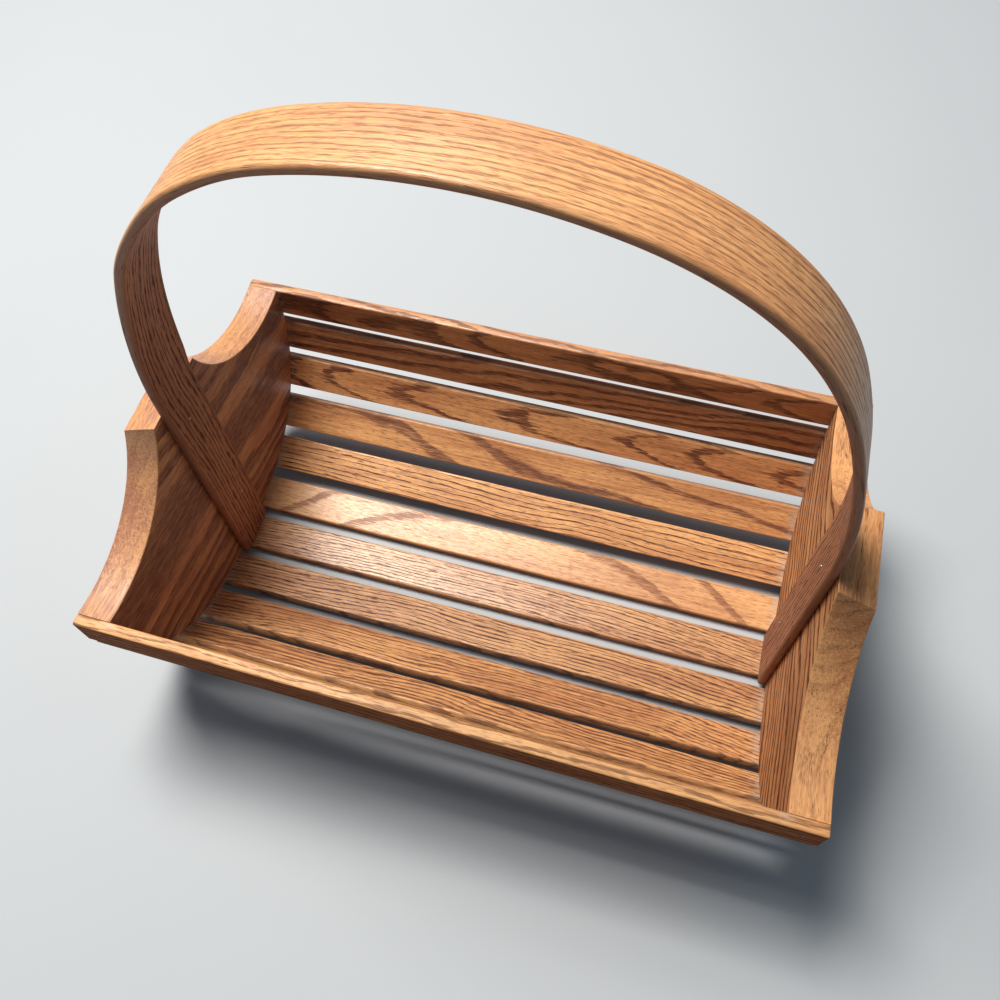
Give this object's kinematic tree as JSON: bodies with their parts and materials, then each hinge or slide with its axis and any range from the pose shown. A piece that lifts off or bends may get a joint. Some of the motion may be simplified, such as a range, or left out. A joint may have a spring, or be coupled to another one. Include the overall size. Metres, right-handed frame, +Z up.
{
  "type": "trug garden basket",
  "caption": "Open slatted wooden trug with shaped solid ends and one fixed bent-wood bow handle, for carrying produce and garden tools.",
  "frame": {"origin": "centre of the floor slat's underside, on the surface the basket stands on", "axes": "+X along the slats towards the right end board, +Y across the basket towards the back rim, +Z up through the top of the bow"},
  "size_m": [0.406, 0.2528, 0.4016],
  "materials": {
    "end_board_wood": "satin",
    "handle_wood": "satin",
    "slat_wood": "satin",
    "brad_steel": "dull"
  },
  "bodies": {
    "root": {"left_end_board": "end_board_wood", "right_end_board": "end_board_wood", "bow_handle": "handle_wood", "front_rim_slat": "slat_wood", "slat_02": "slat_wood", "slat_03": "slat_wood", "slat_04": "slat_wood", "slat_05": "slat_wood", "slat_06": "slat_wood", "slat_07": "slat_wood", "slat_08": "slat_wood", "slat_09": "slat_wood", "slat_10": "slat_wood", "slat_11": "slat_wood", "slat_12": "slat_wood", "back_rim_slat": "slat_wood", "slat_brads": "brad_steel", "handle_brads": "brad_steel"}
  },
  "joints": []
}
